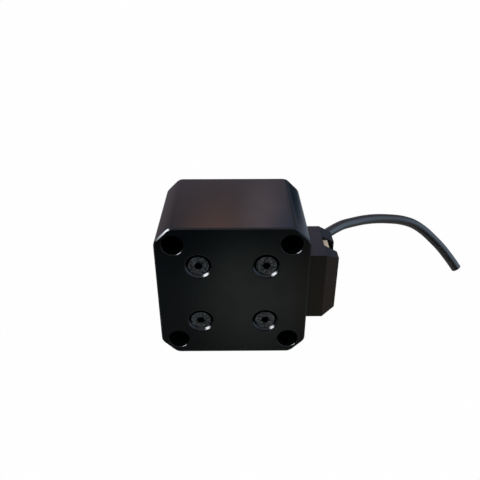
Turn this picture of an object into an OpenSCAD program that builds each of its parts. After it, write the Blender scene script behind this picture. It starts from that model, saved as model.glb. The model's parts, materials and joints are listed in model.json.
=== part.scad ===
// Small square stepper motor in a machined black case, lying on one flat side.
// X points out through the connector hood, Y points out along the shaft, and Z is up.
// The origin is on the motor axis, in the plane of the front mounting face.

/* [Case] */
// Width and height of the square case
body_w = 40.9; // [40.2:0.1:42]
// Length of the case, from its rear face to its front mounting face
case_len = 32; // [31.5:0.5:40]
// Size of the flat cut across each long corner
corner_cut = 4.2; // [3.6:0.1:4.6]
// Rounding where each corner cut meets the sides
corner_round = 2.6; // [0.4:0.1:3]
// Bevel round the front and rear faces
edge_break = 0.35; // [0.2:0.05:0.6]
// Thickness of the case between its round cavity and the middle of each side
case_wall = 2.25; // [2:0.05:2.4]
// Thickness of the closed rear wall
rear_wall = 3.5; // [3.2:0.1:4.5]
// Thickness of the front flange
flange_t = 7.2; // [7:0.1:8.5]
// Diameter of the round cavity in the case
cavity_d = body_w - 2 * case_wall;
// Distance from the motor axis to each corner cut
corner_reach = (body_w - corner_cut) * cos(45);

/* [Fits] */
// Radial gap of a pressed seat
snug = 0.01; // [0.005:0.005:0.02]
// Radial gap of a part that slides into place
slip = 0.05; // [0.03:0.01:0.08]
// Radial play of a screw thread in its tapped hole
thread_play = 0.025; // [0.02:0.005:0.04]

/* [Mounting] */
// How far the corner holes lie inside the middle of the metal in each corner
corner_bias = 0.155; // [0:0.005:0.3]
// Diameter of the locating boss on the front face
pilot_d = 22; // [20:0.5:23]
// Height of the locating boss
pilot_h = 2; // [1.5:0.1:2.5]
// Diameter of the opening through the locating boss
pilot_bore = 10; // [9:0.5:11]
// Free depth for a mounting screw, from the front face
mount_depth = 4.4; // [4:0.1:4.8]
// Distance between neighbouring corner holes
bolt_spacing = 2 * cos(45) * ((cavity_d / 2 + corner_reach) / 2 - corner_bias);

/* [Shaft] */
// Diameter of the shaft
shaft_d = 5; // [4.9:0.05:5.1]
// Length of shaft in front of the mounting face
shaft_out = 24; // [18:1:30]
// Length of the flat on the shaft
flat_len = 10; // [6:1:18]
// Thickness of the shaft across its flat
flat_across = 4.5; // [4:0.1:4.8]

/* [Bearings] */
// Outside diameter of each ball bearing
bearing_d = 16; // [15:0.5:16]
// Width of each ball bearing
bearing_w = 5; // [4.8:0.1:5.2]
// Diameter of the balls as a share of the space between the shaft and the outer edge
ball_share = 0.505; // [0.48:0.005:0.52]
// Number of balls in each bearing
ball_count = 7; // [5:1:7]
// Diameter of the bearing balls
ball_d = ball_share * (bearing_d - shaft_d) / 2;

/* [Fasteners] */
// Thread diameter of all the screws
screw_d = 3; // [2.9:0.05:3.1]
// Thread pitch of all the screws, which sets the drill of their tapped holes
thread_pitch = 0.5; // [0.4:0.05:0.6]
// Diameter of the clearance holes
clear_d = 3.4; // [3.2:0.1:3.6]
// Length of the tie screws under their heads
tie_len = 12; // [10:0.5:14]
// Diameter of the tie screw heads
tie_head_d = 5.5; // [5.2:0.1:5.6]
// Height of the tie screw heads
tie_head_h = 3; // [2.5:0.1:3.5]
// Diameter of the deep corner bores
corner_bore_d = 5.8; // [5.7:0.1:6.2]
// How far the countersunk screws lie inside the middle of the wall round the bearing
cover_bias = 0.372; // [0:0.004:0.6]
// Diameter of the countersink at the rear face
sink_d = 7.4; // [7:0.1:7.8]
// Diameter of the countersunk heads
cover_head_d = 6; // [5.6:0.1:6.2]
// Overall length of the countersunk screws
cover_len = 6; // [5.5:0.5:6.5]
// Distance between neighbouring countersunk screws
cover_spacing = 2 * cos(45) * ((cavity_d + bearing_d) / 4 - cover_bias);

/* [Rotor and stator] */
// Thickness of the stator ring behind the windings
yoke_t = 2.95; // [2.7:0.05:3.1]
// Depth of the winding slots, from the ring to the toothed shoes
slot_depth = 3; // [2.8:0.05:3.1]
// Thickness of the toothed shoes
shoe_t = 1.35; // [1.2:0.05:1.5]
// Gap between the rotor and the stator teeth
air_gap = 0.15; // [0.1:0.05:0.3]
// Number of teeth on each rotor cup
rotor_teeth = 50; // [50:5:60]
// Thickness of the rotor magnet
magnet_t = 2; // [1:0.5:3]
// Depth of the rotor and stator teeth
tooth_depth = 0.6; // [0.4:0.1:0.7]
// Number of stator poles
pole_count = 8; // [6:2:8]
// Width of each stator pole
pole_w = 3.6; // [3:0.1:4]
// Thickness of the plastic liner on each side of a pole
liner_t = 0.5; // [0.4:0.05:0.6]
// Gap between each winding and what lies next to it
coil_clear = 0.1; // [0.05:0.05:0.15]
// Thickness of each winding as a share of its half of the slot
coil_share = 0.555; // [0.4:0.005:0.6]
// Radius of the back of the toothed shoes
shoe_r = cavity_d / 2 - slip - yoke_t - slot_depth;
// Outside diameter of the rotor
rotor_d = 2 * (shoe_r - shoe_t - air_gap);
// Thickness of each winding
coil_t = coil_share * (shoe_r * tan(180 / pole_count) - pole_w / 2 - liner_t - coil_clear / 2);

/* [Connector and hood] */
// Height of the hood
hood_h = 20.4; // [20:0.1:21]
// Length of the hood along the motor
hood_len = 16.8; // [16:0.1:17.2]
// Distance from the rear face to the hood
hood_inset = 3.3; // [3:0.05:3.8]
// How far the hood reaches out from the side of the case
hood_out = 8.65; // [8.4:0.05:9.4]
// How far out the flat top of the hood reaches
hood_flat = 4.95; // [4.8:0.05:5.3]
// How far the hood's bevels drop
hood_drop = 2; // [1.6:0.1:2.2]
// Wall thickness of the hood
hood_wall = 1; // [0.8:0.05:1.1]
// Length of each notch that clears the plug, along the motor
notch_len = 5.2; // [5.1:0.1:5.6]
// Depth of each notch, from the flat side of the hood
notch_depth = 4.2; // [3.4:0.1:5]
// Distance from the rear face to the middle of the connector
connector_from_rear = 11.4; // [11.2:0.1:12]
// Thickness of the connector along the motor
connector_t = 4.7; // [4.4:0.1:4.8]
// Gap between each end of the plug and the inside of the hood
plug_gap = 0.2; // [0.15:0.05:0.5]
// How far the plug reaches out from the side of the case
plug_out = 6.55; // [6.2:0.05:6.7]
// Number of ways in the connector
way_count = 6; // [4:1:6]
// Distance from each end of the plug to the middle of its last way
way_end = 2.75; // [2.6:0.05:3.2]
// Height of the plug across its ways
plug_h = hood_h - 2 * hood_wall - 2 * plug_gap;
// Distance between neighbouring ways
way_pitch = (plug_h - 2 * way_end) / (way_count - 1);
// Height of the lower edge of the upper notch, above the motor axis
notch_low = hood_h / 2 - notch_depth;

/* [Cable] */
// Diameter of the cable
cable_d = 3.3; // [3:0.05:3.5]
// Diameter of each lead in the cable
lead_d = 0.9; // [0.7:0.05:0.95]

/* [Hidden] */

$fn = 96;
// Overrun of every cut past the face that it opens
over = 0.5;
// Angle between each side of the case and a corner cut
turn_angle = 45;
// Circle steps where shapes are rounded by an offset
round_steps = 24;

// Axial places, along Y
rear_y = -case_len;
inner_rear_y = rear_y + rear_wall;
spigot_h = 0.9;
spigot_t = 1.1;
stack_front = -flange_t - spigot_h;
connector_y = rear_y + connector_from_rear;
connector_gap = 0.15;
stack_rear = connector_y + connector_t / 2 + connector_gap;
stack_len = stack_front - stack_rear;
stack_mid = (stack_front + stack_rear) / 2;

// Bearing seats
lip_t = 1;
wave_h = 0.9;
front_bearing_y = -lip_t - bearing_w / 2;
rear_bearing_y = inner_rear_y + wave_h + bearing_w / 2;

// Corner bores and tie screws
tie_seat = -mount_depth - tie_len;
corner_mouth = 0.2;
engaged_d = screw_d + 2 * thread_play;
drill_d = screw_d - thread_pitch;
thread_lead_in = 0.3;
tie_hex_across = 2.5;
tie_hex_depth = 1.3;

// Countersunk screws
cover_hex_across = 2;
cover_hex_depth = 1.2;
cover_land = 0.3;
cover_recess = (sink_d - cover_head_d) / 2 - cover_land;
sink_gap = 0.05;

// End covers of the case
carrier_t = 4;
carrier_boss_d = 22;
carrier_lip = 0.2;
recess_depth = 2.7;
boss_gap = 1.1;

// Shaft details
shaft_end_gap = 0.4;
shaft_bevel = 0.4;
relief_w = 0.6;
relief_depth = 0.2;
pilot_edge = 0.2;

// Bearing sections
pitch_r = (bearing_d + shaft_d) / 4;
ball_play = 0.05;
ball_r = ball_d / 2;
shoulder_share = 0.14;
shoulder = shoulder_share * ball_d;
inner_ring_r = pitch_r - ball_r + shoulder;
outer_ring_r = pitch_r + ball_r - shoulder;
shield_t = 0.25;
shield_in = 0.15;
shield_groove = 0.3;
shield_gap = 0.2;
cage_gap = 0.15;
cage_share = 0.29;
cage_t = cage_share * ball_d;
cage_h = bearing_w - 2 * (shield_in + shield_t + cage_gap);
cage_play = 0.1;
ring_bevel = 0.25;

// Stator and rotor sections
teeth_per_pole = 6;
tooth_share = 0.46;
tooth_pitch = 360 / rotor_teeth;
stator_r = cavity_d / 2 - slip;
yoke_r = stator_r - yoke_t;
bore_r = shoe_r - shoe_t;
yoke_arc_steps = 5;
magnet_inset = 2.2;
magnet_d = rotor_d - 2 * magnet_inset;
cup_t = (stack_len - magnet_t) / 2;
spacer_d = 7.6;

// Bobbins, windings and the ring board that joins them
end_liner_t = 0.6;
guard_t = 0.7;
guard_h = 3;
pin_sector = 32;
board_t = 1;
board_in_reach = 0.8;
board_out_gap = 0.8;
board_r = cavity_d / 2 - board_out_gap;
board_flat = 0.2;
wave_count = 3;
wave_steps = 36;
wave_t = 0.25;
wave_width = 1.1;
wave_side_gap = 0.1;

// Connector
side_x = body_w / 2;
way_used = [true, false, true, true, false, true];
header_depth = 4.25;
header_in = side_x - header_depth;
header_base = 1.8;
header_wall = 0.6;
header_out = 1.75;
header_end_gap = 0.15;
header_flange_t = 0.7;
header_flange_reach = 0.5;
header_flange_end = 0.35;
window_gap = 0.05;
pin_w = 0.5;
pin_tip = 3;
pin_edge = 2;
pin_bend_x = board_r - pin_edge;
pin_through = 0.6;
tongue_gap = 0.1;
cavity_w = 1.2;
contact_w = 1;
contact_hole = 0.6;
contact_len = 4;
plug_step = 2.4;
plug_back_t = 0.9;
plug_cheek = 1.5;

// Hood
hood_tab_w = 2.5;
hood_tab_in = 1.6;
hood_tab_inset = 1;
tab_gap = 0.05;

// Cable exit
cable_out = 4.25;
cable_x = side_x + cable_out;
cable_z = 0;
grommet_wall = 0.65;
grommet_step = 0.5;
grommet_neck = cable_d + 2 * grommet_wall;
grommet_flange = grommet_neck + 2 * grommet_step;
grommet_lip = 0.8;
tail_in = 1.8;
lead_spread = 0.52;
lead_handle_out = 3;
lead_handle_back = 2;
lead_steps = 10;
lead_sides = 8;
cable_sides = 8;

// Points along the middle of the free cable, from the grommet to its bare end on the table
cable_route = [[24.7, -11.1, 0.0], [25.4, -6.4, -0.1], [27.2, -2.0, -0.4], [29.9, 1.9, -0.7],
    [33.1, 5.4, -0.7], [36.9, 8.4, -0.4], [41.0, 10.7, -0.5], [45.4, 12.6, -0.6],
    [49.9, 14.0, -0.9], [54.6, 15.0, -1.5], [59.2, 15.6, -2.3], [63.7, 15.8, -3.8],
    [67.8, 15.4, -6.3], [71.4, 14.4, -9.3], [74.7, 13.1, -12.4], [77.7, 11.6, -15.8],
    [80.5, 10.0, -19.3]];

// A point at radius r and angle a
function polar(r, a) = [r * cos(a), r * sin(a)];
// A vector of length one
function unit(v) = v / norm(v);
// The place across the connector of one way, counted from its lower end
function way_z(i) = (i - (way_count - 1) / 2) * way_pitch;
// The ways that hold a contact and a lead
function used_ways() = [for (i = [0:way_count - 1]) if (way_used[i]) i];
// Height of the connector header across its ways
function header_h() = plug_h - 2 * header_end_gap - 2 * window_gap;
// How far out a flat block of this half width reaches inside a circle of radius r
function reach_in(r, half) = sqrt(r * r - half * half);
// A point on the curve that four control points make
function curve_at(a, b, c, d, t) =
    a * pow(1 - t, 3) + b * (3 * t * pow(1 - t, 2)) + c * (3 * t * t * (1 - t)) + d * pow(t, 3);

// Turns a shape made along Z so that it lies along the motor axis, Y
module on_axis() {
    rotate([-90, 0, 0]) children();
}

// Places a copy at each corner of a square
module on_square(spacing) {
    for (x = [-1, 1], z = [-1, 1])
        translate([x * spacing / 2, z * spacing / 2, 0]) children();
}

// A plain tube swept through the points of a path, its ends square to the start and end
// directions; across is never along the path
module swept_tube(path, d, sides, across, start, end) {
    last = len(path) - 1;
    rings = [for (i = [0:last])
        let (along = i == 0 ? start : i == last ? end : unit(path[i + 1] - path[i - 1]))
        let (u = unit(cross(along, across)))
        let (v = cross(along, u))
        for (k = [0:sides - 1])
            path[i] + d / 2 * (cos(360 * k / sides) * u + sin(360 * k / sides) * v)];
    walls = [for (i = [0:last - 1], k = [0:sides - 1])
        let (a = i * sides + k)
        let (b = i * sides + (k + 1) % sides)
        each [[a, a + sides, b], [b, a + sides, b + sides]]];
    caps = [for (k = [1:sides - 2])
        each [[0, k, k + 1], [last * sides, last * sides + k + 1, last * sides + k]]];
    polyhedron(rings, concat(walls, caps), convexity = 6);
}

// Outline of the case: a square with a flat cut and soft turns at each corner
module case_outline() {
    s = body_w / 2;
    c = s - corner_cut;
    offset(r = corner_round, $fn = round_steps) offset(delta = -corner_round)
        polygon([[s, c], [c, s], [-c, s], [-s, c], [-s, -c], [-c, -s], [c, -s], [s, -c]]);
}

// Cuts that bevel the eight edges, and the turns between them, of a case face lying at zero
module edge_cuts() {
    w = edge_break / cos(45);
    turn = body_w / 2 - corner_round;
    turn_side = body_w / 2 - corner_cut - corner_round * tan(turn_angle / 2);
    for (i = [0:3]) rotate([0, 0, 90 * i]) {
        translate([body_w / 2, 0, 0]) rotate([0, 45, 0]) cube([w, body_w, w], center = true);
        rotate([0, 0, 45]) translate([corner_reach, 0, 0])
            rotate([0, 45, 0]) cube([w, body_w, w], center = true);
        translate([turn, turn_side, 0]) turn_cut();
        translate([turn_side, turn, 0]) rotate([0, 0, turn_angle]) turn_cut();
    }
}

// Cut that bevels one rounded turn, made round its middle
module turn_cut() {
    rotate_extrude(angle = turn_angle) polygon([[corner_round - edge_break, 0], [corner_round, -edge_break],
        [corner_round + edge_break, 0], [corner_round, edge_break]]);
}

// A length of the case between two places along the axis, bevelled where it ends at face
module case_block(from, to, face) {
    difference() {
        translate([0, 0, from]) linear_extrude(to - from) case_outline();
        translate([0, 0, face]) edge_cuts();
    }
}

// A socket head screw with its head's underside at zero, its thread pointing to +Z
module cap_screw() {
    difference() {
        union() {
            translate([0, 0, -tie_head_h]) cylinder(d = tie_head_d, h = tie_head_h);
            cylinder(d = screw_d, h = tie_len - thread_lead_in);
            translate([0, 0, tie_len - thread_lead_in])
                cylinder(d1 = screw_d, d2 = screw_d - 2 * thread_lead_in, h = thread_lead_in);
        }
        translate([0, 0, -tie_head_h - over])
            cylinder(d = tie_hex_across / cos(30), h = tie_hex_depth + over, $fn = 6);
    }
}

// A countersunk screw with the top of its head at zero, its thread pointing to +Z
module sunk_screw() {
    cone_h = (cover_head_d - screw_d) / 2;
    difference() {
        union() {
            cylinder(d = cover_head_d, h = cover_land);
            translate([0, 0, cover_land]) cylinder(d1 = cover_head_d, d2 = screw_d, h = cone_h);
            translate([0, 0, cover_land + cone_h])
                cylinder(d = screw_d, h = cover_len - cover_land - cone_h - thread_lead_in);
            translate([0, 0, cover_len - thread_lead_in])
                cylinder(d1 = screw_d, d2 = screw_d - 2 * thread_lead_in, h = thread_lead_in);
        }
        translate([0, 0, -over])
            cylinder(d = cover_hex_across / cos(30), h = cover_hex_depth + over, $fn = 6);
    }
}

// Hole for a countersunk screw, its mouth at zero
module sunk_hole() {
    sink_h = (sink_d - clear_d) / 2;
    translate([0, 0, -over]) cylinder(d = clear_d, h = rear_wall + 2 * over);
    cylinder(d1 = sink_d, d2 = clear_d, h = sink_h);
    translate([0, 0, -over]) cylinder(d = sink_d, h = over);
}

// The four tabs that hold the hood, grown by a gap and an overrun for their sockets
module hood_tabs(gap, mouth) {
    near_y = rear_y + hood_inset + hood_tab_inset;
    far_y = rear_y + hood_inset + hood_len - hood_tab_inset - hood_tab_w;
    for (y = [near_y, far_y], side = [-1, 1])
        translate([side_x - hood_tab_in - gap, y - gap,
                side * (hood_h - hood_wall) / 2 - hood_wall / 2 - gap])
            cube([hood_tab_in + gap + mouth, hood_tab_w + 2 * gap, hood_wall + 2 * gap]);
}

// Window in the case for the connector header
module header_window() {
    w = connector_t + 2 * window_gap;
    h = header_h() + 2 * window_gap;
    translate([header_in, connector_y - w / 2, -h / 2]) cube([side_x - header_in + over, w, h]);
}

// Machined cup with the closed rear face that the screws enter
module housing() {
    color([0.07, 0.07, 0.08]) difference() {
        on_axis() difference() {
            case_block(rear_y, -flange_t, rear_y);
            translate([0, 0, inner_rear_y]) cylinder(d = cavity_d, h = -inner_rear_y);
            on_square(bolt_spacing) {
                translate([0, 0, rear_y - over]) {
                    cylinder(d = corner_bore_d, h = tie_seat - rear_y + over);
                    cylinder(d = clear_d, h = case_len);
                }
                translate([0, 0, rear_y])
                    cylinder(d1 = corner_bore_d + 2 * corner_mouth, d2 = corner_bore_d,
                        h = corner_mouth);
            }
            translate([0, 0, rear_y]) on_square(cover_spacing) sunk_hole();
        }
        header_window();
        hood_tabs(tab_gap, over);
    }
}

// Front end cover with the locating boss, tapped corners and bearing seat
module front_flange() {
    recess_out = cavity_d / 2 - slip - spigot_t;
    boss_r = shoe_r - guard_t - boss_gap;
    color([0.07, 0.07, 0.08]) on_axis() difference() {
        union() {
            case_block(-flange_t, 0, 0);
            translate([0, 0, -flange_t - spigot_h])
                cylinder(d = cavity_d - 2 * slip, h = spigot_h);
            cylinder(d = pilot_d, h = pilot_h - pilot_edge);
            translate([0, 0, pilot_h - pilot_edge])
                cylinder(d1 = pilot_d, d2 = pilot_d - 2 * pilot_edge, h = pilot_edge);
        }
        translate([0, 0, -flange_t - spigot_h - over])
            cylinder(r = recess_out, h = spigot_h + over);
        translate([0, 0, -flange_t - over]) difference() {
            cylinder(r = recess_out, h = recess_depth + over);
            translate([0, 0, -over]) cylinder(r = boss_r, h = flange_t + over);
        }
        translate([0, 0, -flange_t - over])
            cylinder(d = bearing_d + 2 * snug, h = flange_t - lip_t + over);
        translate([0, 0, -lip_t - over]) cylinder(d = pilot_bore, h = lip_t + pilot_h + 2 * over);
        on_square(bolt_spacing) {
            translate([0, 0, -flange_t - over])
                cylinder(d = engaged_d, h = flange_t - mount_depth + over);
            translate([0, 0, -mount_depth]) cylinder(d = drill_d, h = mount_depth + over);
            translate([0, 0, -thread_lead_in])
                cylinder(d1 = drill_d, d2 = drill_d + 2 * thread_lead_in + 2 * over,
                    h = thread_lead_in + over);
        }
    }
}

// Four screws deep in the corner bores that pull the cup onto the flange
module tie_screws() {
    color([0.12, 0.12, 0.13]) on_axis() on_square(bolt_spacing)
        translate([0, 0, tie_seat]) cap_screw();
}

// Four countersunk screws in the rear face that hold the bearing carrier
module cover_screws() {
    color([0.15, 0.15, 0.16]) on_axis() on_square(cover_spacing)
        translate([0, 0, rear_y + cover_recess - sink_gap]) sunk_screw();
}

// Disc behind the rear wall that carries the rear bearing
module rear_carrier() {
    boss_top = rear_bearing_y + bearing_w / 2 + carrier_lip;
    color([0.75, 0.76, 0.78]) on_axis() difference() {
        union() {
            translate([0, 0, inner_rear_y]) cylinder(d = cavity_d - 2 * slip, h = carrier_t);
            translate([0, 0, inner_rear_y])
                cylinder(d = carrier_boss_d, h = boss_top - inner_rear_y);
        }
        translate([0, 0, inner_rear_y - over])
            cylinder(d = bearing_d + 2 * snug, h = boss_top - inner_rear_y + 2 * over);
        translate([0, 0, inner_rear_y - over]) on_square(cover_spacing)
            cylinder(d = engaged_d, h = carrier_t + 2 * over);
    }
}

// Wavy spring ring that presses the rear bearing forward
module wave_washer() {
    r_out = bearing_d / 2 - wave_side_gap;
    radii = [r_out - wave_width, r_out];
    swing = (wave_h - wave_t) / 2 - snug;
    mid = inner_rear_y + wave_h / 2;
    points = [for (i = [0:wave_steps - 1])
        let (a = 360 * i / wave_steps)
        for (side = [-1, 1], r = radii)
            [each polar(r, a), mid + swing * cos(wave_count * a) + side * wave_t / 2]];
    faces = [for (i = [0:wave_steps - 1])
        let (a = 4 * i)
        let (b = 4 * ((i + 1) % wave_steps))
        each [[a, a + 1, b + 1], [a, b + 1, b], [a + 2, b + 3, a + 3], [a + 2, b + 2, b + 3],
            [a + 1, a + 3, b + 3], [a + 1, b + 3, b + 1], [a, b + 2, a + 2], [a, b, b + 2]]];
    color([0.7, 0.71, 0.73]) on_axis() polyhedron(points, faces, convexity = 6);
}

// Open inside of the stator: the bore between the toothed shoes and the slots behind them
module stator_opening() {
    reach = tooth_pitch * (teeth_per_pole - 1 + tooth_share) / 2;
    half = tooth_pitch * tooth_share / 2;
    arm_shoe = asin(pole_w / 2 / shoe_r);
    arm_yoke = asin(pole_w / 2 / yoke_r);
    step = 360 / pole_count;
    polygon([for (k = [0:pole_count - 1])
        let (a = k * step)
        each concat(
            [polar(yoke_r, a - arm_yoke), polar(shoe_r, a - arm_shoe), polar(shoe_r, a - reach)],
            [for (j = [0:teeth_per_pole - 1])
                let (c = a + (j - (teeth_per_pole - 1) / 2) * tooth_pitch)
                each concat(
                    j > 0 ? [polar(bore_r + tooth_depth, c - half)] : [],
                    [polar(bore_r, c - half), polar(bore_r, c + half)],
                    j < teeth_per_pole - 1 ? [polar(bore_r + tooth_depth, c + half)] : [])],
            [polar(shoe_r, a + reach), polar(shoe_r, a + arm_shoe)],
            [for (s = [0:yoke_arc_steps])
                polar(yoke_r, a + arm_yoke + (step - 2 * arm_yoke) * s / (yoke_arc_steps + 1))])]);
}

// Laminated stator with eight poles, each with six teeth
module stator_core() {
    color([0.55, 0.56, 0.58]) on_axis() translate([0, 0, stack_rear])
        linear_extrude(stack_len) difference() {
            circle(r = stator_r);
            stator_opening();
        }
}

// One plastic insulator, made upward from the middle of the stack, with its end face above
module bobbin(open_sector) {
    top = stack_len / 2;
    half = pole_w / 2 + liner_t;
    arm_start = shoe_r + coil_clear;
    arm_len = reach_in(yoke_r, half) - coil_clear - arm_start;
    difference() {
        union() {
            for (k = [0:pole_count - 1]) rotate([0, 0, 360 * k / pole_count]) {
                for (side = [0, 1]) mirror([0, side, 0])
                    translate([arm_start, pole_w / 2 + snug, 0])
                        cube([arm_len, liner_t - snug, top + end_liner_t]);
                translate([shoe_r - guard_t, -half, top])
                    cube([guard_t + coil_clear, 2 * half, guard_h]);
                translate([shoe_r, -half, top])
                    cube([yoke_r - shoe_r + guard_t / 2, 2 * half, end_liner_t]);
            }
            translate([0, 0, top]) difference() {
                cylinder(r = yoke_r + guard_t, h = guard_h);
                translate([0, 0, -over]) cylinder(r = yoke_r, h = guard_h + 2 * over);
            }
        }
        if (open_sector > 0)
            linear_extrude(stack_len + guard_h + over)
                polygon([[0, 0], polar(2 * yoke_r, -open_sector), polar(2 * yoke_r, open_sector)]);
    }
}

// Insulator on the front half of the stack
module front_bobbin() {
    color([0.9, 0.88, 0.8]) on_axis() translate([0, 0, stack_mid]) bobbin(0);
}

// Insulator on the rear half of the stack, open where the connector pins come in
module rear_bobbin() {
    color([0.9, 0.88, 0.8]) on_axis() translate([0, 0, stack_mid]) mirror([0, 0, 1])
        bobbin(pin_sector);
}

// Eight windings, one round each pole
module coils() {
    from = shoe_r + coil_clear;
    hole_w = pole_w + 2 * liner_t + coil_clear;
    hole_h = stack_len + 2 * end_liner_t + coil_clear;
    coil_end = reach_in(yoke_r, hole_w / 2 + coil_t) - coil_clear;
    color([0.72, 0.38, 0.16]) on_axis() translate([0, 0, stack_mid])
        for (k = [0:pole_count - 1]) rotate([0, 0, 360 * k / pole_count])
            translate([from, 0, 0]) rotate([90, 0, 90])
                linear_extrude(coil_end - from) difference() {
                    offset(r = coil_t, $fn = round_steps) square([hole_w, hole_h], center = true);
                    square([hole_w, hole_h], center = true);
                }
}

// Ring board that the windings and the connector pins are soldered to
module terminal_board() {
    front = stack_rear - guard_h;
    r_in = shoe_r - board_in_reach;
    color([0.1, 0.35, 0.2]) difference() {
        on_axis() translate([0, 0, front - board_t]) difference() {
            cylinder(r = board_r, h = board_t);
            translate([0, 0, -over]) cylinder(r = r_in, h = board_t + 2 * over);
        }
        translate([header_in - board_flat, front - board_t - over, -board_r])
            cube([board_r, board_t + 2 * over, 2 * board_r]);
        for (i = [0:way_count - 1])
            translate([pin_bend_x, front - board_t - over, way_z(i)])
                on_axis() cylinder(d = pin_w / cos(45) + 2 * slip, h = board_t + 2 * over);
    }
}

// Outer ring of a ball bearing, centred on zero along Z
module outer_ring() {
    h = bearing_w / 2;
    groove_z = h - shield_in - shield_t - slip;
    rotate_extrude() difference() {
        polygon([[outer_ring_r, -h], [bearing_d / 2 - ring_bevel, -h],
            [bearing_d / 2, -h + ring_bevel], [bearing_d / 2, h - ring_bevel],
            [bearing_d / 2 - ring_bevel, h], [outer_ring_r, h]]);
        translate([pitch_r, 0]) circle(r = ball_r + ball_play);
        for (side = [-1, 1])
            translate([outer_ring_r - over, side > 0 ? groove_z : -h - over])
                square([shield_groove + over, h - groove_z + over]);
    }
}

// Inner ring of a ball bearing, centred on zero along Z
module inner_ring() {
    h = bearing_w / 2;
    r_in = shaft_d / 2 + snug;
    rotate_extrude() difference() {
        polygon([[r_in, -h + ring_bevel], [r_in + ring_bevel, -h], [inner_ring_r, -h],
            [inner_ring_r, h], [r_in + ring_bevel, h], [r_in, h - ring_bevel]]);
        translate([pitch_r, 0]) circle(r = ball_r + ball_play);
    }
}

// The two thin shields of a ball bearing
module shields() {
    for (side = [-1, 1])
        translate([0, 0, side * (bearing_w / 2 - shield_in - shield_t / 2)]) difference() {
            cylinder(r = outer_ring_r + shield_groove - snug, h = shield_t, center = true);
            cylinder(r = inner_ring_r + shield_gap, h = shield_t + over, center = true);
        }
}

// The balls of a bearing
module balls() {
    for (i = [0:ball_count - 1]) rotate([0, 0, 360 * i / ball_count])
        translate([pitch_r, 0, 0]) sphere(d = ball_d);
}

// The cage that spaces the balls
module cage() {
    difference() {
        cylinder(r = pitch_r + cage_t / 2, h = cage_h, center = true);
        cylinder(r = pitch_r - cage_t / 2, h = cage_h + over, center = true);
        for (i = [0:ball_count - 1]) rotate([0, 0, 360 * i / ball_count])
            translate([pitch_r, 0, 0]) rotate([0, 90, 0])
                cylinder(r = ball_r + cage_play, h = 2 * cage_t, center = true);
    }
}

module front_outer_ring() {
    color([0.78, 0.79, 0.8]) translate([0, front_bearing_y, 0]) on_axis() outer_ring();
}

module rear_outer_ring() {
    color([0.78, 0.79, 0.8]) translate([0, rear_bearing_y, 0]) on_axis() outer_ring();
}

module front_inner_ring() {
    color([0.8, 0.81, 0.82]) translate([0, front_bearing_y, 0]) on_axis() inner_ring();
}

module rear_inner_ring() {
    color([0.8, 0.81, 0.82]) translate([0, rear_bearing_y, 0]) on_axis() inner_ring();
}

module front_shields() {
    color([0.7, 0.71, 0.73]) translate([0, front_bearing_y, 0]) on_axis() shields();
}

module rear_shields() {
    color([0.7, 0.71, 0.73]) translate([0, rear_bearing_y, 0]) on_axis() shields();
}

module front_balls() {
    color([0.85, 0.86, 0.87]) translate([0, front_bearing_y, 0]) on_axis() balls();
}

module rear_balls() {
    color([0.85, 0.86, 0.87]) translate([0, rear_bearing_y, 0]) on_axis() balls();
}

module front_cage() {
    color([0.7, 0.71, 0.73]) translate([0, front_bearing_y, 0]) on_axis() cage();
}

module rear_cage() {
    color([0.7, 0.71, 0.73]) translate([0, rear_bearing_y, 0]) on_axis() cage();
}

// Shaft with a flat at its free end and a relief where the ground length starts
module shaft() {
    r = shaft_d / 2;
    start = inner_rear_y + shaft_end_gap;
    color([0.78, 0.79, 0.8]) on_axis() difference() {
        union() {
            translate([0, 0, start])
                cylinder(r1 = r - shaft_bevel, r2 = r, h = shaft_bevel);
            translate([0, 0, start + shaft_bevel])
                cylinder(r = r, h = shaft_out - start - 2 * shaft_bevel);
            translate([0, 0, shaft_out - shaft_bevel])
                cylinder(r1 = r, r2 = r - shaft_bevel, h = shaft_bevel);
        }
        translate([0, 0, pilot_h - relief_w]) difference() {
            cylinder(r = r + over, h = relief_w);
            translate([0, 0, -over]) cylinder(r = r - relief_depth, h = relief_w + 2 * over);
        }
        translate([-r - over, -r - over, shaft_out - flat_len])
            cube([2 * (r + over), shaft_d - flat_across + over, flat_len + over]);
    }
}

// Ring of teeth for a rotor cup
module rotor_outline() {
    half = tooth_pitch * tooth_share / 2;
    polygon([for (i = [0:rotor_teeth - 1])
        let (a = i * tooth_pitch)
        each [polar(rotor_d / 2 - tooth_depth, a - half), polar(rotor_d / 2, a - half),
            polar(rotor_d / 2, a + half), polar(rotor_d / 2 - tooth_depth, a + half)]]);
}

// One toothed rotor cup, standing on zero
module rotor_cup() {
    linear_extrude(cup_t) difference() {
        rotor_outline();
        circle(d = shaft_d + 2 * snug);
    }
}

module rotor_cup_front() {
    color([0.5, 0.51, 0.53]) on_axis() translate([0, 0, stack_front - cup_t]) rotor_cup();
}

// The rear cup is turned by half a tooth
module rotor_cup_rear() {
    color([0.5, 0.51, 0.53]) on_axis() translate([0, 0, stack_rear])
        rotate([0, 0, tooth_pitch / 2]) rotor_cup();
}

module rotor_magnet() {
    color([0.3, 0.3, 0.32]) on_axis() translate([0, 0, stack_rear + cup_t])
        linear_extrude(magnet_t) difference() {
            circle(d = magnet_d);
            circle(d = shaft_d + 2 * snug);
        }
}

// Sleeve on the shaft between two places along the axis
module spacer(from, to) {
    translate([0, 0, from]) linear_extrude(to - from) difference() {
        circle(d = spacer_d);
        circle(d = shaft_d + 2 * snug);
    }
}

module front_spacer() {
    color([0.8, 0.7, 0.4]) on_axis() spacer(stack_front, front_bearing_y - bearing_w / 2);
}

module rear_spacer() {
    color([0.8, 0.7, 0.4]) on_axis() spacer(rear_bearing_y + bearing_w / 2, stack_rear);
}

// A box centred on the connector's plane, given by its reach along X
module connector_box(from, to, t, h) {
    translate([from, connector_y - t / 2, -h / 2]) cube([to - from, t, h]);
}

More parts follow.
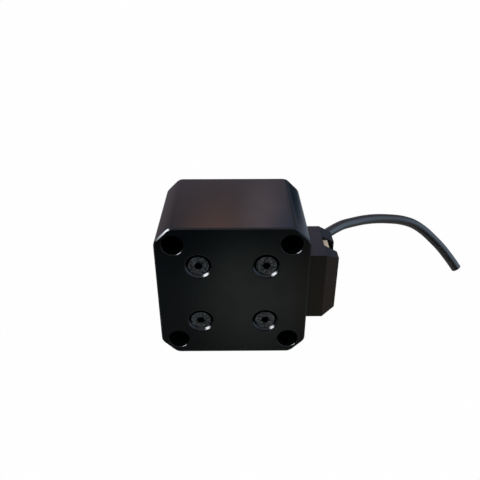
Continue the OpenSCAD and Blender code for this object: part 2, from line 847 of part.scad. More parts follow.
// Header in the side window, with a shroud round its pins
module connector_header() {
    h = header_h();
    mouth = side_x + header_out;
    color([0.93, 0.89, 0.76]) difference() {
        union() {
            connector_box(header_in, mouth, connector_t, h);
            connector_box(side_x, side_x + header_flange_t, connector_t + 2 * header_flange_reach,
                h + header_flange_end);
        }
        connector_box(header_in + header_base, mouth + over, connector_t - 2 * header_wall,
            h - 2 * header_wall);
        for (i = [0:way_count - 1]) translate([0, 0, way_z(i)])
            connector_box(header_in - over, header_in + header_base + over, pin_w + 2 * snug,
                pin_w + 2 * snug);
    }
}

// Six bent pins, from the ring board to the plug
module connector_pins() {
    foot = stack_rear - guard_h - board_t - pin_through;
    color([0.85, 0.72, 0.35]) for (i = [0:way_count - 1]) translate([0, 0, way_z(i)]) {
        connector_box(pin_bend_x - pin_w / 2, header_in + header_base + pin_tip, pin_w, pin_w);
        translate([pin_bend_x - pin_w / 2, foot, -pin_w / 2])
            cube([pin_w, connector_y - foot, pin_w]);
    }
}

// Plug in the header, its outer end open towards the cable
module connector_plug() {
    h = header_h();
    mouth = side_x + header_out;
    end = side_x + plug_out;
    step = end - plug_step;
    color([0.93, 0.89, 0.76]) difference() {
        union() {
            connector_box(header_in + header_base + tongue_gap, mouth + tongue_gap,
                connector_t - 2 * header_wall - tongue_gap, h - 2 * header_wall - tongue_gap);
            connector_box(mouth + tongue_gap, end, connector_t, plug_h);
        }
        translate([step, connector_y - connector_t / 2 + plug_back_t, -plug_h / 2 + plug_cheek])
            cube([plug_step + over, connector_t, plug_h - 2 * plug_cheek]);
        for (i = [0:way_count - 1]) translate([0, 0, way_z(i)])
            connector_box(header_in, end + over, cavity_w, cavity_w);
    }
}

// Crimp contacts in the ways that are used
module plug_contacts() {
    from = header_in + header_base + 2 * tongue_gap;
    color([0.85, 0.72, 0.35]) for (i = used_ways()) translate([0, 0, way_z(i)]) difference() {
        connector_box(from, from + contact_len, contact_w, contact_w);
        connector_box(from - over, from + contact_len + over, contact_hole, contact_hole);
    }
}

// Leads that turn out of the plug and gather in the end of the cable
module plug_leads() {
    from = header_in + header_base + 2 * tongue_gap + contact_len;
    step = side_x + plug_out - plug_step;
    far_face = rear_y + hood_inset + hood_len;
    tail_y = far_face - hood_wall - tail_in;
    ways = used_ways();
    for (n = [0:len(ways) - 1]) {
        z = way_z(ways[n]);
        start = [step, connector_y, z];
        end = [cable_x + (n % 2 == 0 ? -1 : 1) * lead_spread, tail_y,
            cable_z + (n < 2 ? -1 : 1) * lead_spread];
        path = concat([[from, connector_y, z]],
            [for (s = [0:lead_steps]) curve_at(start, start + [lead_handle_out, 0, 0],
                end - [0, lead_handle_back, 0], end, s / lead_steps)]);
        color([0.25, 0.08, 0.06])
            swept_tube(path, lead_d, lead_sides, [1, -1, 0], [1, 0, 0], [0, 1, 0]);
    }
}

// Solid shape of the hood, or of its inside when drawn in by a wall
module hood_form(t) {
    // Along the slope, a wall of thickness t moves the bevel's start by this much
    slope = norm([hood_out - hood_flat, hood_drop]);
    shift = t * (slope - (hood_out - hood_flat)) / hood_drop;
    x0 = side_x - (t > 0 ? over : 0);
    x1 = side_x + hood_flat - shift;
    x2 = side_x + hood_out - t;
    z1 = hood_h / 2 - t;
    z2 = z1 - hood_drop * (x2 - x1) / (hood_out - hood_flat);
    y0 = rear_y + hood_inset + t;
    y1 = rear_y + hood_inset + hood_len - t;
    y2 = y0 + hood_drop * (x2 - x1) / (hood_out - hood_flat);
    intersection() {
        translate([0, y1, 0]) rotate([90, 0, 0]) linear_extrude(y1 - y0)
            polygon([[x0, -z1], [x1, -z1], [x2, -z2], [x2, z2], [x1, z1], [x0, z1]]);
        translate([0, 0, -hood_h / 2]) linear_extrude(hood_h)
            polygon([[x0, y0], [x1, y0], [x2, y2], [x2, y1], [x0, y1]]);
    }
}

// Bevelled cover over the connector, notched where the plug's ends stand proud
module connector_hood() {
    far_face = rear_y + hood_inset + hood_len;
    color([0.06, 0.06, 0.07]) union() {
        difference() {
            hood_form(0);
            hood_form(hood_wall);
            for (side = [0, 1]) mirror([0, 0, side])
                translate([side_x + hood_flat, connector_y - notch_len / 2, notch_low])
                    cube([hood_out, notch_len, hood_h]);
            translate([cable_x, far_face - hood_wall - over, cable_z]) on_axis()
                cylinder(d = grommet_neck + 2 * slip, h = hood_wall + 2 * over);
        }
        hood_tabs(0, hood_wall);
    }
}

// Rubber ring that holds the cable in the far wall of the hood
module grommet() {
    far_face = rear_y + hood_inset + hood_len;
    color([0.05, 0.05, 0.05]) translate([cable_x, far_face, cable_z]) on_axis() difference() {
        union() {
            cylinder(d = grommet_flange, h = grommet_lip);
            translate([0, 0, -hood_wall]) cylinder(d = grommet_neck, h = hood_wall);
            translate([0, 0, -hood_wall - grommet_lip])
                cylinder(d = grommet_flange, h = grommet_lip);
        }
        translate([0, 0, -hood_wall - grommet_lip - over])
            cylinder(d = cable_d + 2 * snug, h = hood_wall + 2 * grommet_lip + 2 * over);
    }
}

// The held end of the cable, from the leads to the outside of the grommet
module cable_tail() {
    far_face = rear_y + hood_inset + hood_len;
    color([0.05, 0.05, 0.05]) translate([cable_x, far_face, cable_z]) on_axis()
        translate([0, 0, -hood_wall - tail_in])
            cylinder(d = cable_d, h = hood_wall + tail_in + grommet_lip);
}

// The free cable, a plain tube with a ring at every other point of its route
module cable() {
    last = len(cable_route) - 1;
    color([0.05, 0.05, 0.05])
        swept_tube([for (i = [0:2:last]) cable_route[i]], cable_d, cable_sides, [0, 0, 1],
            [0, 1, 0], unit(cable_route[last] - cable_route[last - 1]));
}

housing();
front_flange();
tie_screws();
cover_screws();
rear_carrier();
wave_washer();
stator_core();
front_bobbin();
rear_bobbin();
coils();
terminal_board();
front_outer_ring();
front_shields();
rear_outer_ring();
rear_shields();
connector_header();
connector_pins();
connector_plug();
plug_contacts();
plug_leads();
connector_hood();
grommet();
cable_tail();
cable();
shaft();
rotor_cup_front();
rotor_magnet();
rotor_cup_rear();
front_spacer();
rear_spacer();
front_inner_ring();
rear_inner_ring();
front_balls();
front_cage();
rear_balls();
rear_cage();
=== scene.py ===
# A small square stepper motor in a black machined case, lying on one flat side.
# The frame is the CAD model's: X out through the connector hood, Y out along the shaft, Z up,
# and the origin on the motor axis in the plane of the front mounting face.
# Lengths are in metres, so one that is written in millimetres is multiplied by MM.
import json
import math

import bpy
import bmesh
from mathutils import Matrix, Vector


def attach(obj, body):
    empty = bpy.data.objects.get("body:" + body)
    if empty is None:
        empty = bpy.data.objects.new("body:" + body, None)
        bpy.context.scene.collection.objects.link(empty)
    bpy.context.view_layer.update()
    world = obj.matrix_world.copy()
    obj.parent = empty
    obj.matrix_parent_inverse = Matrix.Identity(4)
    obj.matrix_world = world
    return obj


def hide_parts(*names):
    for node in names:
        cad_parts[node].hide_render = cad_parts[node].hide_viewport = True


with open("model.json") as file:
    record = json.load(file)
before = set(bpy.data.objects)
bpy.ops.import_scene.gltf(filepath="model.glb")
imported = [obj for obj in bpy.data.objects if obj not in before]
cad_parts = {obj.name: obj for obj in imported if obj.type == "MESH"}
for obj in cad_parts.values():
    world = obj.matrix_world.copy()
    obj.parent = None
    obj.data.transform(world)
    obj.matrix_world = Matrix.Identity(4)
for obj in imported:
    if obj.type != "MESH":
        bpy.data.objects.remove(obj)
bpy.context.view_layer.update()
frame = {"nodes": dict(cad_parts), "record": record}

MM = 0.001

# Planes of the CAD model
REAR_Y = -32 * MM
FRONT_Y = 0.0
TABLE_Z = -20.45 * MM

# Two points this close are one place, and a point this close to a radius lies on it
SAME_PLACE = 0.001 * MM
ROUND_SLACK = 0.01 * MM

# Every new piece, with the name of its finish
new_pieces = []


# Camera

PHOTO_WIDTH = 480
FOCAL_PIXELS = 519.3
CAMERA_PLACE = Vector((1.229, -147.319, 82.931)) * MM
# Tilt, roll and turn, in degrees
CAMERA_ANGLES = (60.2633, 0.0779, -0.4175)


def make_camera():
    """The photograph's view: its place, its angles and its field of view."""
    data = bpy.data.cameras.new("camera")
    data.sensor_width = 36.0
    data.lens = data.sensor_width * FOCAL_PIXELS / PHOTO_WIDTH
    data.clip_start = 0.005
    data.clip_end = 50.0
    camera = bpy.data.objects.new("camera", data)
    camera.location = CAMERA_PLACE
    camera.rotation_euler = [math.radians(angle) for angle in CAMERA_ANGLES]
    bpy.context.scene.collection.objects.link(camera)
    bpy.context.scene.camera = camera


# Mesh helpers

def link_mesh(name, mesh, smooth_angle=35):
    """A new object for a bmesh, with soft shading at edges below smooth_angle degrees."""
    data = bpy.data.meshes.new(name)
    mesh.normal_update()
    mesh.to_mesh(data)
    mesh.free()
    thing = bpy.data.objects.new(name, data)
    bpy.context.scene.collection.objects.link(thing)
    for polygon in data.polygons:
        polygon.use_smooth = True
    data.set_sharp_from_angle(angle=math.radians(smooth_angle))
    return thing


def case_piece(name, mesh, finish, stands_for=None, smooth_angle=35):
    """A new piece that rides on the case, and that may stand for a CAD node."""
    piece = link_mesh(name, mesh, smooth_angle)
    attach(piece, "case")
    if stands_for:
        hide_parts(stands_for)
    new_pieces.append((piece, finish))
    return piece


def smooth_path(points, steps):
    """Points along one smooth curve through the given points, steps to a span."""
    padded = [2 * points[0] - points[1], *points, 2 * points[-1] - points[-2]]
    path = []
    for a, b, c, d in zip(padded, padded[1:], padded[2:], padded[3:]):
        for k in range(steps):
            t = k / steps
            slope = (c - a) * t
            bend = (2 * a - 5 * b + 4 * c - d) * t ** 2
            twist = (3 * b - a - 3 * c + d) * t ** 3
            path.append(0.5 * (2 * b + slope + bend + twist))
    path.append(points[-1].copy())
    return path


def path_frames(path, start_direction):
    """The direction, and two directions across it, at each point of a path, without twist."""
    frames = []
    across = Vector((0, 0, 1))
    for i, point in enumerate(path):
        if i == 0:
            along = start_direction
        elif i == len(path) - 1:
            along = (point - path[i - 1]).normalized()
        else:
            along = (path[i + 1] - path[i - 1]).normalized()
        across = (across - across.dot(along) * along).normalized()
        frames.append((along, across, along.cross(across)))
    return frames


def spoke(path_frame, angle):
    """The direction at an angle round a path, square to it."""
    _, across, beside = path_frame
    return math.cos(angle) * across + math.sin(angle) * beside


def swept_rings(mesh, rings, sides):
    """A skin over rings, each of them a (centre, path frame, radius), closed at both ends."""
    loops = []
    for centre, path_frame, radius in rings:
        turns = [2 * math.pi * k / sides for k in range(sides)]
        loops.append([mesh.verts.new(centre + radius * spoke(path_frame, turn)) for turn in turns])
    for first, second in zip(loops, loops[1:]):
        for k in range(sides):
            n = (k + 1) % sides
            mesh.faces.new((first[k], first[n], second[n], second[k]))
    mesh.faces.new(list(reversed(loops[0])))
    mesh.faces.new(loops[-1])


# Case

# Widths of the bevels on the outline and on the rims of the screw sinks
EDGE_BREAK = 0.35 * MM
SINK_BREAK = 0.13 * MM
# The corner bores, and the bevels at their mouths as the CAD has them and as they look
HOLE_SPACING = 31.0 * MM
HOLE_RADIUS = 2.9 * MM
HOLE_MOUTH = 0.2 * MM
HOLE_MOUTH_SEEN = 0.09 * MM
# The cover screws: their sinks, and their heads as the CAD has them and as they look
SCREW_SPACING = 18.0 * MM
SINK_RADIUS = 3.7 * MM
HEAD_RADIUS = 3.0 * MM
HEAD_RADIUS_SEEN = 2.73 * MM
# A wall at an end face belongs to the outline where its normal leans less than this along the
# axis, unlike a hole's bevelled mouth, and it stands further than this from it, unlike the boss
UPRIGHT_LEAN = 0.1
OUTLINE_REACH = 15 * MM


def bare_copy(node_name):
    """A node's vertices and faces in a new mesh, without its stored shading."""
    solid = frame["nodes"][node_name].data
    mesh = bmesh.new()
    corners = [mesh.verts.new(v.co) for v in solid.vertices]
    for polygon in solid.polygons:
        mesh.faces.new([corners[i] for i in polygon.vertices])
    bmesh.ops.remove_doubles(mesh, verts=mesh.verts, dist=SAME_PLACE)
    return mesh


def head_axis(vertex):
    """The point of the nearest cover screw's axis that lies level with a vertex."""
    x, y, z = vertex.co
    half = SCREW_SPACING / 2
    return Vector((math.copysign(half, x), y, math.copysign(half, z)))


def head_distance(vertex):
    """How far a vertex lies from the nearest cover screw's axis."""
    return (vertex.co - head_axis(vertex)).length


def narrow_mouths(mesh, face_y):
    """Leaves the bevels round the corner bores of a face a fine line, as on the real case."""
    shrink = HOLE_MOUTH - HOLE_MOUTH_SEEN
    half = HOLE_SPACING / 2
    for vertex in mesh.verts:
        depth = abs(vertex.co.y - face_y)
        out = Vector((abs(vertex.co.x) - half, 0, abs(vertex.co.z) - half))
        if depth < SAME_PLACE and abs(out.length - HOLE_RADIUS - HOLE_MOUTH) < SAME_PLACE:
            shift = out.normalized() * shrink
            vertex.co.x -= math.copysign(shift.x, vertex.co.x * shift.x)
            vertex.co.z -= math.copysign(shift.z, vertex.co.z * shift.z)
        elif abs(depth - HOLE_MOUTH) < SAME_PLACE and abs(out.length - HOLE_RADIUS) < SAME_PLACE:
            vertex.co.y += math.copysign(shrink, face_y - vertex.co.y)


def spot(vertex):
    """A vertex's place in whole steps, the same for all vertices at one place."""
    return tuple(round(c / SAME_PLACE) for c in vertex.co)


def lies_flat(face, face_y):
    """Whether a face is part of the flat at face_y."""
    return all(abs(v.co.y - face_y) < SAME_PLACE for v in face.verts)


def bevel_width(edge, face_y):
    """How wide the bevel on an edge of the flat at face_y is; 0 where the edge stays as it is."""
    walls = [f for f in edge.link_faces if not lies_flat(f, face_y)]
    if len(edge.link_faces) != 2 or len(walls) != 1:
        return 0
    if all(abs(head_distance(v) - SINK_RADIUS) < ROUND_SLACK for v in edge.verts):
        return SINK_BREAK
    upright = abs(walls[0].normal.y) < UPRIGHT_LEAN
    outline = all(v.co.xz.length > OUTLINE_REACH for v in edge.verts)
    return EDGE_BREAK if upright and outline else 0


def bevel_rims(mesh, face_y):
    """Bevels the outline and the screw sinks of a case part at its flat at face_y.

    Each edge is split, the flat's side of it is drawn in and the wall's side is drawn back along
    the wall, and a narrow face joins the two.
    """
    into_case = Vector((0, 1 if face_y < REAR_Y / 2 else -1, 0))
    rim = []
    wall_normals = {}
    widths = {}
    for edge in mesh.edges:
        width = bevel_width(edge, face_y)
        if width:
            rim.append(edge)
            wall = [f for f in edge.link_faces if not lies_flat(f, face_y)][0]
            for vertex in edge.verts:
                wall_normals.setdefault(spot(vertex), []).append(wall.normal.copy())
                widths[spot(vertex)] = width
    ends = [(spot(e.verts[0]), spot(e.verts[1])) for e in rim]
    bmesh.ops.split_edges(mesh, edges=rim)

    flat_ring = {}
    wall_ring = {}
    for vertex in mesh.verts:
        place = spot(vertex)
        if place in wall_normals:
            on_flat = any(lies_flat(f, face_y) for f in vertex.link_faces)
            ring = flat_ring if on_flat else wall_ring
            ring[place] = vertex
    for place, normals in wall_normals.items():
        middle = (normals[0] + normals[-1]).normalized()
        first, second = (Vector((n.x, 0, n.z)).normalized() for n in (normals[0], normals[-1]))
        miter = (first + second) / (1 + first.dot(second))
        down_wall = (into_case - into_case.dot(middle) * middle).normalized()
        flat_ring[place].co -= miter * widths[place]
        wall_ring[place].co += down_wall * widths[place]
    for start, end in ends:
        mesh.faces.new((flat_ring[start], flat_ring[end], wall_ring[end], wall_ring[start]))


def make_bevelled_copy(node_name, name, face_y):
    """A case part with the fine bevels of its end face, which catch the light.

    They lean 22.5 degrees and more from the flat, and stay sharp so that it mirrors evenly.
    """
    mesh = bare_copy(node_name)
    narrow_mouths(mesh, face_y)
    mesh.normal_update()
    bevel_rims(mesh, face_y)
    bmesh.ops.recalc_face_normals(mesh, faces=mesh.faces)
    case_piece(name, mesh, "case_black", stands_for=node_name, smooth_angle=20)


def make_cover_screws():
    """The cover screws, with heads at the small end of their standard's range."""
    heads_end = REAR_Y + 0.7 * MM
    mesh = bare_copy("cover_screws")
    for vertex in mesh.verts:
        distance = head_distance(vertex)
        if vertex.co.y < heads_end and distance > HEAD_RADIUS - ROUND_SLACK:
            axis = head_axis(vertex)
            vertex.co = axis + (vertex.co - axis) * HEAD_RADIUS_SEEN / distance
    bmesh.ops.recalc_face_normals(mesh, faces=mesh.faces)
    case_piece("cover_screws_trimmed", mesh, "screw_black", stands_for="cover_screws")


def make_hood_rib():
    """The rib inside the hood's outer wall that keeps the plug from backing out."""
    low = Vector((27.15, -22.6, -5.9)) * MM
    high = Vector((28.1, -18.6, 5.9)) * MM
    edge_round = 0.25 * MM
    round_steps = 3
    mesh = bmesh.new()
    bmesh.ops.create_cube(mesh, size=1)
    for vertex in mesh.verts:
        shares = [c + 0.5 for c in vertex.co]
        vertex.co = Vector(a + share * (b - a) for a, b, share in zip(low, high, shares))
    free_edges = [e for e in mesh.edges if any(v.co.x < low.x + edge_round for v in e.verts)]
    bmesh.ops.bevel(mesh, geom=free_edges, offset=edge_round, segments=round_steps, profile=0.5,
                    affect="EDGES")
    case_piece("hood_rib", mesh, "hood_black")


# Cable

CABLE_DIAMETER = 3.3 * MM
CABLE_ROUTE = [Vector(p) * MM for p in (
    (24.7, -11.1, 0.0), (25.4, -6.4, -0.1), (27.2, -2.0, -0.4), (29.9, 1.9, -0.7),
    (33.1, 5.4, -0.7), (36.9, 8.4, -0.4), (41.0, 10.7, -0.5), (45.4, 12.6, -0.6),
    (49.9, 14.0, -0.9), (54.6, 15.0, -1.5), (59.2, 15.6, -2.3), (63.7, 15.8, -3.8),
    (67.8, 15.4, -6.3), (71.4, 14.4, -9.3), (74.7, 13.1, -12.4), (77.7, 11.6, -15.8),
    (80.5, 10.0, -19.3))]
ROUTE_STEPS = 8
# The cut end: the wall of the jacket, how far its rim is rounded, how deep its bore shows, and
# the cores in it with their bare wires
JACKET_WALL = 0.35 * MM
RIM_ROUND = 0.25 * MM
END_RECESS = 0.3 * MM
CORE_COUNT = 4
CORE_OFFSET = 0.52 * MM * math.sqrt(2)
CORE_RADIUS = 0.45 * MM
CORE_ROUND = 0.04 * MM
WIRE_RADIUS = 0.225 * MM
WIRE_TIP_RADIUS = 0.15 * MM
WIRE_REACH = 0.02 * MM
WIRE_TIP_REACH = 0.05 * MM
JACKET_SIDES = 40
CORE_SIDES = 20
WIRE_SIDES = 14


def jacket_rings(path, frames):
    """The jacket's rings: along the path, round its rim, and down its bore at the cut end."""
    radius = CABLE_DIAMETER / 2
    end, end_frame = path[-1], frames[-1]
    along = end_frame[0]
    rings = [(point, path_frame, radius) for point, path_frame in zip(path[:-1], frames[:-1])]
    for share in (0.0, 0.35, 0.7, 1.0):
        angle = share * math.pi / 2
        centre = end - along * RIM_ROUND * (1 - math.sin(angle))
        rings.append((centre, end_frame, radius - RIM_ROUND * (1 - math.cos(angle))))
    rings.append((end, end_frame, radius - JACKET_WALL))
    rings.append((end - along * END_RECESS, end_frame, radius - JACKET_WALL))
    return rings


def end_rod(name, finish, centre, end_frame, steps, sides):
    """A short rod in the cut end, its steps given as (how far past the end, radius)."""
    mesh = bmesh.new()
    along = end_frame[0]
    rings = [(centre + along * ahead, end_frame, radius) for ahead, radius in steps]
    swept_rings(mesh, rings, sides)
    return case_piece(name, mesh, finish)


def make_cores(end, end_frame):
    """The cores in the cable's cut end, each with its bare wire."""
    core_steps = ((-END_RECESS, CORE_RADIUS), (-CORE_ROUND, CORE_RADIUS),
                  (0, CORE_RADIUS - CORE_ROUND))
    wire_steps = ((-END_RECESS, WIRE_RADIUS), (WIRE_REACH, WIRE_RADIUS),
                  (WIRE_TIP_REACH, WIRE_TIP_RADIUS))
    pieces = []
    for k in range(CORE_COUNT):
        centre = end + CORE_OFFSET * spoke(end_frame, (k + 0.5) * 2 * math.pi / CORE_COUNT)
        for kind, finish, steps, sides in (("core", "lead_dark", core_steps, CORE_SIDES),
                                           ("wire", "contact_metal", wire_steps, WIRE_SIDES)):
            name = f"cable_{kind}_{k + 1}"
            pieces.append(end_rod(name, finish, centre, end_frame, steps, sides))
    return pieces


def make_cable():
    """The free cable: a round jacket, cut square at its end, where its cores show."""
    path = smooth_path(CABLE_ROUTE, ROUTE_STEPS)
    frames = path_frames(path, Vector((0, 1, 0)))
    mesh = bmesh.new()
    swept_rings(mesh, jacket_rings(path, frames), JACKET_SIDES)
    cable = case_piece("cable_jacket", mesh, "cable_black", stands_for="cable")
    cores = make_cores(path[-1], frames[-1])


# Materials

class Surface:
    """A material whose nodes read the object's own coordinates, in millimetres."""

    def __init__(self, name, color, roughness, metallic=0.0, ior=1.45):
        self.material = bpy.data.materials.new(name)
        self.material.use_nodes = True
        self.tree = self.material.node_tree
        self.shader = self.tree.nodes["Principled BSDF"]
        self.color = color
        self.roughness = roughness
        self.shader.inputs["Base Color"].default_value = (*color, 1)
        self.shader.inputs["Roughness"].default_value = roughness
        self.shader.inputs["Metallic"].default_value = metallic
        self.shader.inputs["IOR"].default_value = ior

    def add(self, kind, inputs=None, **properties):
        """A new node, with its inputs and its properties set."""
        node = self.tree.nodes.new(kind)
        for name, value in properties.items():
            setattr(node, name, value)
        for name, value in (inputs or {}).items():
            node.inputs[name].default_value = value
        return node

    def link(self, source, target):
        self.tree.links.new(source, target)

    def place(self, stretch=(1, 1, 1)):
        """The object's own coordinates in millimetres, stretched along each axis."""
        coordinates = self.add("ShaderNodeTexCoord")
        mapping = self.add("ShaderNodeMapping", {"Scale": [s / MM for s in stretch]})
        self.link(coordinates.outputs["Object"], mapping.inputs["Vector"])
        return mapping.outputs["Vector"]

    def noise(self, size, detail=3.0, stretch=(1, 1, 1)):
        """Noise from 0 to 1 whose patches are about size millimetres wide."""
        node = self.add("ShaderNodeTexNoise", {"Scale": 1 / size, "Detail": detail})
        self.link(self.place(stretch), node.inputs["Vector"])
        return node.outputs["Fac"]

    def spread(self, value, low, high, from_low=0.3, from_high=0.7):
        """A value's range mapped to another range; noise lies mostly from 0.3 to 0.7."""
        node = self.add("ShaderNodeMapRange", {"From Min": from_low, "From Max": from_high,
                                               "To Min": low, "To Max": high})
        self.link(value, node.inputs["Value"])
        return node.outputs["Result"]

    def vary_roughness(self, value, amount):
        """Roughness that swings by amount to either side."""
        low, high = self.roughness - amount, self.roughness + amount
        self.link(self.spread(value, low, high), self.shader.inputs["Roughness"])

    def vary_color(self, value, other):
        """Colour that turns to another one as the value grows."""
        mix = self.add("ShaderNodeMix", data_type="RGBA")
        ends = {"A": self.color, "B": other}
        for socket in mix.inputs:
            if socket.type == "RGBA":
                socket.default_value = (*ends[socket.name], 1)
        self.link(value, mix.inputs["Factor"])
        result = [s for s in mix.outputs if s.type == "RGBA"][0]
        self.link(result, self.shader.inputs["Base Color"])

    def bump(self, height, depth, strength=0.5):
        """Relief of the given depth, in millimetres."""
        node = self.add("ShaderNodeBump", {"Strength": strength, "Distance": depth * MM})
        self.link(height, node.inputs["Height"])
        self.link(node.outputs["Normal"], self.shader.inputs["Normal"])


def satin_black(name, color, roughness, ior, cloud, swing, grain, depth, strength=0.5):
    """A black surface: clouds of slightly other gloss, and a fine even grain."""
    surface = Surface(name, color, roughness, ior=ior)
    surface.vary_roughness(surface.noise(cloud), swing)
    surface.bump(surface.noise(grain, detail=2.0), depth, strength)
    return surface.material


def screw_oxide(name):
    """Black oxide steel, mottled where the heads have worn, and darker down in the sockets."""
    # Places along the axis, in millimetres: the heads' flat tops lie 0.35 mm below the rear face
    head_top = REAR_Y / MM + 0.35
    worn_to, made_from = head_top + 0.02, head_top + 0.12
    surface = Surface(name, (0.004, 0.0045, 0.006), 0.38, metallic=1.0)
    place = surface.add("ShaderNodeSeparateXYZ")
    surface.link(surface.place(), place.inputs[0])
    on_head = surface.spread(place.outputs["Y"], 1.0, 0.0, worn_to, made_from)
    mottle = surface.spread(surface.noise(0.42, detail=1.0), 0.22, 1.0, 0.42, 0.66)
    worn = surface.add("ShaderNodeMath", operation="MULTIPLY")
    surface.link(on_head, worn.inputs[0])
    surface.link(mottle, worn.inputs[1])
    surface.vary_color(worn.outputs[0], (0.15, 0.165, 0.18))
    surface.vary_roughness(surface.noise(0.8), 0.06)
    surface.bump(surface.noise(0.3, detail=2.0), 0.02, 0.8)
    return surface.material


def bare_metal(name, color, roughness, grain, stretch=(1, 1, 1), depth=0.002):
    """Bare metal with a fine grain, which may run along one direction."""
    surface = Surface(name, color, roughness, metallic=1.0)
    surface.vary_roughness(surface.noise(grain * 6, stretch=stretch), 0.05)
    surface.bump(surface.noise(grain, detail=2.0, stretch=stretch), depth)
    return surface.material


def moulded_plastic(name, color, other, roughness, grain=0.3):
    """Moulded plastic with a faint cloud of another tone."""
    surface = Surface(name, color, roughness)
    surface.vary_color(surface.spread(surface.noise(grain * 8), 0.0, 1.0), other)
    surface.vary_roughness(surface.noise(grain * 5), 0.05)
    surface.bump(surface.noise(grain, detail=2.0), 0.004)
    return surface.material


# Each finish of the record: how it is made, and with what. Sizes and depths are in millimetres.
FINISHES = {
    # colour, roughness, refractive index, cloud size, swing of gloss, grain size, depth, strength
    "case_black": (satin_black, (0.0018, 0.0025, 0.003), 0.15, 1.3, 6.0, 0.02, 0.12, 0.0008),
    "hood_black": (satin_black, (0.0043, 0.0038, 0.0031), 0.28, 1.33, 3.0, 0.04, 0.15, 0.004, 0.6),
    "cable_black": (satin_black, (0.0035, 0.0035, 0.004), 0.34, 1.64, 1.5, 0.05, 0.3, 0.006),
    "screw_black": (screw_oxide,),
    # colour, roughness, grain size, stretch of the grain, depth
    "plain_aluminium": (bare_metal, (0.6, 0.61, 0.63), 0.35, 0.2),
    "bearing_steel": (bare_metal, (0.5, 0.51, 0.53), 0.22, 0.1),
    "ball_steel": (bare_metal, (0.7, 0.71, 0.73), 0.08, 0.1),
    "shaft_steel": (bare_metal, (0.5, 0.5, 0.52), 0.22, 0.12, (0.1, 1, 0.1), 0.0004),
    "lamination": (bare_metal, (0.3, 0.31, 0.33), 0.45, 0.3, (0.2, 3, 0.2)),
    "magnet_dark": (bare_metal, (0.4, 0.4, 0.42), 0.3, 0.2),
    "spacer_brass": (bare_metal, (0.6, 0.45, 0.2), 0.3, 0.15),
    "copper_wire": (bare_metal, (0.55, 0.2, 0.07), 0.3, 0.15),
    "contact_metal": (bare_metal, (0.6, 0.45, 0.2), 0.3, 0.1),
    # colour, other colour, roughness
    "bobbin_plastic": (moulded_plastic, (0.75, 0.73, 0.64), (0.65, 0.62, 0.52), 0.5),
    "circuit_board": (moulded_plastic, (0.02, 0.12, 0.05), (0.03, 0.16, 0.07), 0.4),
    "connector_cream": (moulded_plastic, (0.84, 0.69, 0.52), (0.72, 0.57, 0.41), 0.5),
    "lead_dark": (moulded_plastic, (0.05, 0.008, 0.006), (0.03, 0.005, 0.005), 0.4),
}


def dress_pieces():
    """Gives every CAD node and every new piece the finish that the record names for it."""
    materials = {name: make(name, *values) for name, (make, *values) in FINISHES.items()}
    for entry in frame["record"]["subparts"]:
        node = frame["nodes"][entry["node"]]
        for holder in node.material_slots:
            holder.material = materials[entry["material_slot"]]
    for piece, finish in new_pieces:
        piece.data.materials.append(materials[finish])


# Studio

DAYLIGHT_COLOR = (0.9, 0.95, 1.0)
DAYLIGHT_STRENGTH = 0.65
FLOOR_REACH = 3.0
FLOOR_GREY = (0.5, 0.5, 0.5)
# The share of the floor that the camera sees as plain white; the rest of it keeps the shadow
FLOOR_WHITE_SHARE = 0.99

# What the motor's faces mirror: a room of soft patches, fitted to what the faces in the
# photograph mirror, so it suits that view and isn't a neutral studio. Each has the direction of
# its middle, the angles from there at which it starts to fade and has faded out, in degrees, and
# its colour. Later patches cover earlier ones.
ROOM_COLOR = (0.3, 0.32, 0.36)
ROOM_PATCHES = (
    # turn, rise, full to, faded by, colour
    # Behind the camera: the near side of the cable
    (184, 0, 20, 38, (0.03, 0.035, 0.04)),
    # Beyond the motor: the top of the case and of the hood
    (0, 24, 14, 24, (0.4, 0.355, 0.42)),
    (-3, 35.5, 5, 10.5, (1.5, 0.85, 0.72)),
    (6, 28.6, 2, 5.8, (1.12, 0.9, 1.0)),
    (13.5, 31, 3.5, 7.3, (0.27, 0.43, 0.82)),
    # To the right of that: the right facet, its rounded edge and the slope of the hood
    (32, 8, 5, 14, (0.18, 0.21, 0.31)),
    (30.5, -8.5, 4, 14, (0.31, 0.36, 0.46)),
    (20, 11, 3, 8, (0.1, 0.13, 0.2)),
    (22, -4, 4.2, 9.1, (0.02, 0.035, 0.055)),
    # To the left of it: the left facet
    (-22, 12, 5, 12, (0.34, 0.29, 0.33)),
    (-26, -7, 6, 18, (0.21, 0.18, 0.205)),
    # Right side of the room: the cable
    (104, 13, 17, 52, (1.2, 1.55, 2.0)),
    # Window on the left: the bevels and the screw sinks
    (-116, 32, 2, 25, (52.0, 54.0, 58.0)),
    # Above the camera: the bevel along the top
    (180, 65, 20, 45, (1.2, 1.2, 1.35)),
    # Low on the right: the underside of the cable, and the bevel of the hood
    (75, -30, 8, 25, (0.22, 0.25, 0.27)),
    (112, -37, 8, 20, (0.5, 0.34, 0.27)),
    # Table before the motor: its rear face and the near face of the hood
    (180, -60, 30, 60, (0.4, 0.38, 0.36)),
    (180, -33, 11, 22, (0.2, 0.24, 0.26)),
    (163, -35, 4, 9, (0.52, 0.34, 0.18)),
    (180, -45, 5, 12, (0.16, 0.16, 0.16)),
    (178, -35.6, 1.5, 7.5, (0.86, 0.96, 0.9)),
    (175, -22.5, 5.5, 10.5, (0.035, 0.06, 0.09)),
    (-172, -23.5, 5.5, 10.5, (0.02, 0.035, 0.06)),
)


def direction(turn, rise):
    """The direction that lies turn degrees right of the shaft's and rise degrees up."""
    turn, rise = math.radians(turn), math.radians(rise)
    level = math.cos(rise)
    return Vector((math.sin(turn) * level, math.cos(turn) * level, math.sin(rise)))


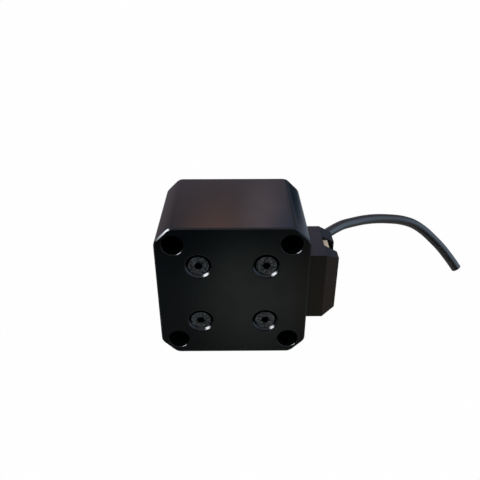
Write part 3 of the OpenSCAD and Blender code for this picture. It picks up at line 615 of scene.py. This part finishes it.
def mirrored_room(tree):
    """A colour for each direction, made from the room's patches."""
    coordinates = tree.nodes.new("ShaderNodeTexCoord")
    color = None
    for turn, rise, full_to, faded_by, patch in ROOM_PATCHES:
        cosine = tree.nodes.new("ShaderNodeVectorMath")
        cosine.operation = "DOT_PRODUCT"
        cosine.inputs[1].default_value = direction(turn, rise)
        tree.links.new(coordinates.outputs["Generated"], cosine.inputs[0])
        share = tree.nodes.new("ShaderNodeMapRange")
        share.interpolation_type = "SMOOTHSTEP"
        share.inputs["From Min"].default_value = math.cos(math.radians(faded_by))
        share.inputs["From Max"].default_value = math.cos(math.radians(full_to))
        tree.links.new(cosine.outputs["Value"], share.inputs["Value"])
        mix = tree.nodes.new("ShaderNodeMixRGB")
        mix.inputs["Color1"].default_value = (*ROOM_COLOR, 1)
        mix.inputs["Color2"].default_value = (*patch, 1)
        tree.links.new(share.outputs["Result"], mix.inputs["Fac"])
        if color:
            tree.links.new(color, mix.inputs["Color1"])
        color = mix.outputs["Color"]
    return color


def make_world():
    """An even dim light; the camera sees white, and reflections see the room."""
    world = bpy.data.worlds.new("studio")
    bpy.context.scene.world = world
    world.use_nodes = True
    tree = world.node_tree
    tree.nodes.clear()
    ray = tree.nodes.new("ShaderNodeLightPath")
    light = tree.nodes.new("ShaderNodeBackground")
    light.inputs["Color"].default_value = (*DAYLIGHT_COLOR, 1)
    light.inputs["Strength"].default_value = DAYLIGHT_STRENGTH
    room = tree.nodes.new("ShaderNodeBackground")
    tree.links.new(mirrored_room(tree), room.inputs["Color"])
    white = tree.nodes.new("ShaderNodeBackground")
    white.inputs["Color"].default_value = (1, 1, 1, 1)
    seen = light.outputs[0]
    for kind, shader in (("Is Glossy Ray", room), ("Is Camera Ray", white)):
        mix = tree.nodes.new("ShaderNodeMixShader")
        tree.links.new(ray.outputs[kind], mix.inputs["Fac"])
        tree.links.new(seen, mix.inputs[1])
        tree.links.new(shader.outputs[0], mix.inputs[2])
        seen = mix.outputs[0]
    output = tree.nodes.new("ShaderNodeOutputWorld")
    tree.links.new(seen, output.inputs["Surface"])


def floor_material():
    """White to the camera but for a faint share of shadow, and grey to all other light."""
    material = bpy.data.materials.new("floor")
    material.use_nodes = True
    tree = material.node_tree
    tree.nodes.clear()
    ray = tree.nodes.new("ShaderNodeLightPath")
    pale = tree.nodes.new("ShaderNodeBsdfDiffuse")
    pale.inputs["Color"].default_value = (*FLOOR_GREY, 1)
    white = tree.nodes.new("ShaderNodeEmission")
    share = tree.nodes.new("ShaderNodeMath")
    share.operation = "MULTIPLY"
    share.inputs[1].default_value = FLOOR_WHITE_SHARE
    mix = tree.nodes.new("ShaderNodeMixShader")
    output = tree.nodes.new("ShaderNodeOutputMaterial")
    tree.links.new(ray.outputs["Is Camera Ray"], share.inputs[0])
    tree.links.new(share.outputs[0], mix.inputs["Fac"])
    tree.links.new(pale.outputs[0], mix.inputs[1])
    tree.links.new(white.outputs[0], mix.inputs[2])
    tree.links.new(mix.outputs[0], output.inputs["Surface"])
    return material


def make_floor():
    """The table under the motor, which nothing mirrors."""
    reach = FLOOR_REACH
    mesh = bmesh.new()
    corners = [(-reach, -reach), (reach, -reach), (reach, reach), (-reach, reach)]
    mesh.faces.new([mesh.verts.new((x, y, TABLE_Z)) for x, y in corners])
    floor = link_mesh("floor", mesh)
    floor.visible_glossy = False
    floor.data.materials.append(floor_material())


def make_studio():
    """The light, the floor and plain colours."""
    make_world()
    make_floor()
    bpy.context.scene.view_settings.view_transform = "Standard"


make_camera()
make_cable()
make_bevelled_copy("housing", "housing_bevelled", REAR_Y)
make_bevelled_copy("front_flange", "flange_bevelled", FRONT_Y)
make_cover_screws()
make_hood_rib()
dress_pieces()
make_studio()
